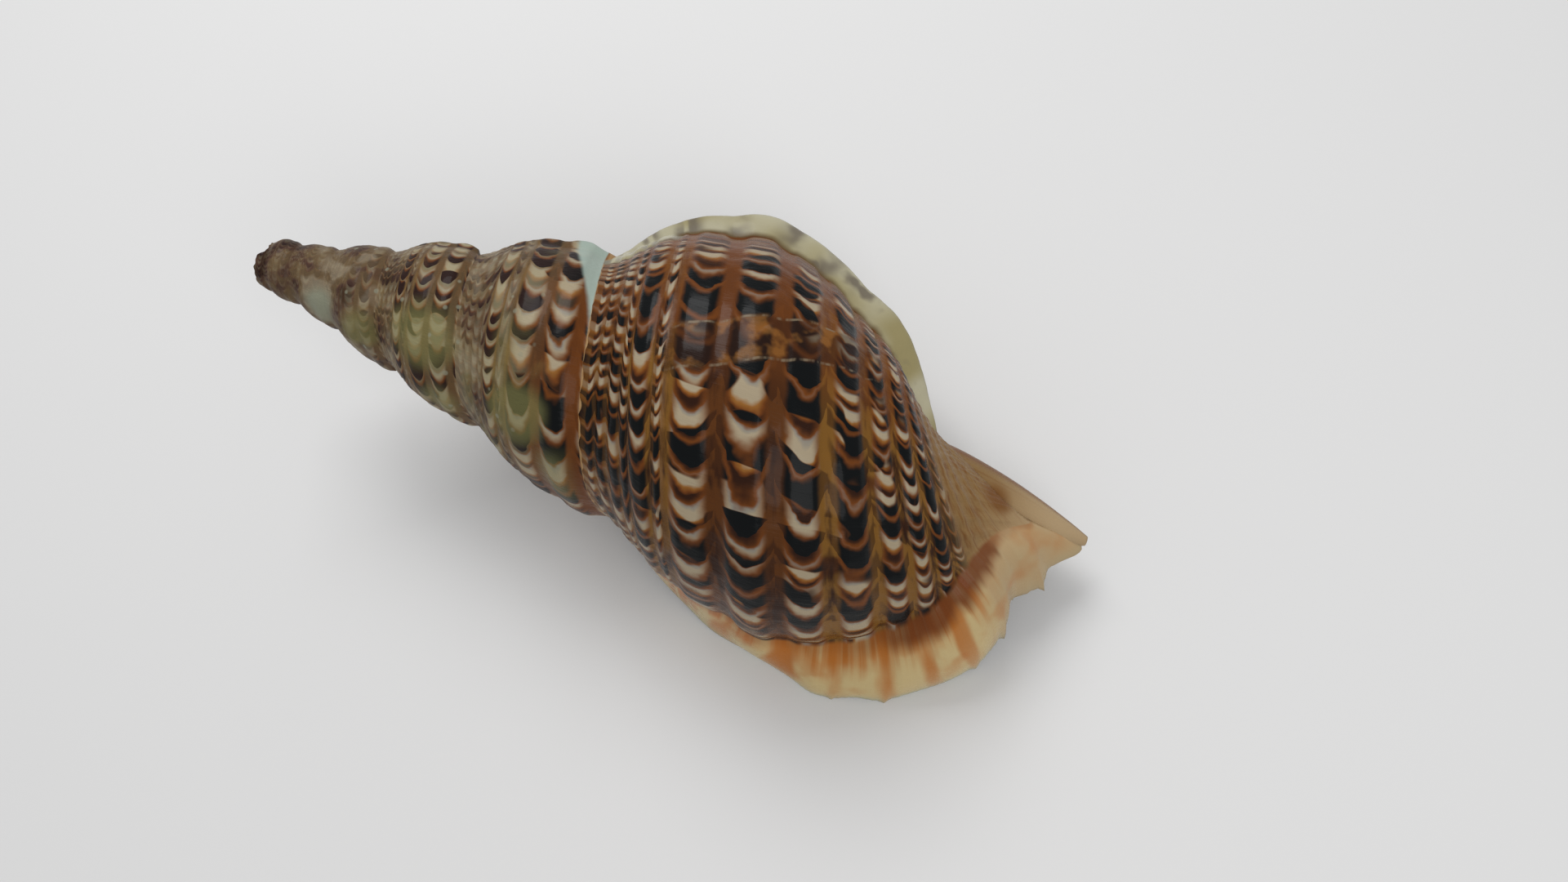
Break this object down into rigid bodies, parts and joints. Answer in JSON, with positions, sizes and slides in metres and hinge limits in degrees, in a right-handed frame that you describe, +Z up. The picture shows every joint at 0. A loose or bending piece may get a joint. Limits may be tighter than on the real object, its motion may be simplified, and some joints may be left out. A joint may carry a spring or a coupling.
{
  "type": "triton shell",
  "caption": "Long spiral sea snail shell with rounded ribbed whorls, a flared wavy outer lip, an open mouth and a broken-off tip, lying on its mouth.",
  "frame": {"origin": "middle of the shell's footprint, on the surface it rests on", "axes": "+Z up, +X towards the canal end, -Y towards the flared outer lip"},
  "size_m": [0.2792, 0.137, 0.1022],
  "materials": {
    "shell": "glossy glazed shell, cream with brown and blue-black crescents"
  },
  "bodies": {
    "root": {"shell": "shell"}
  },
  "joints": []
}
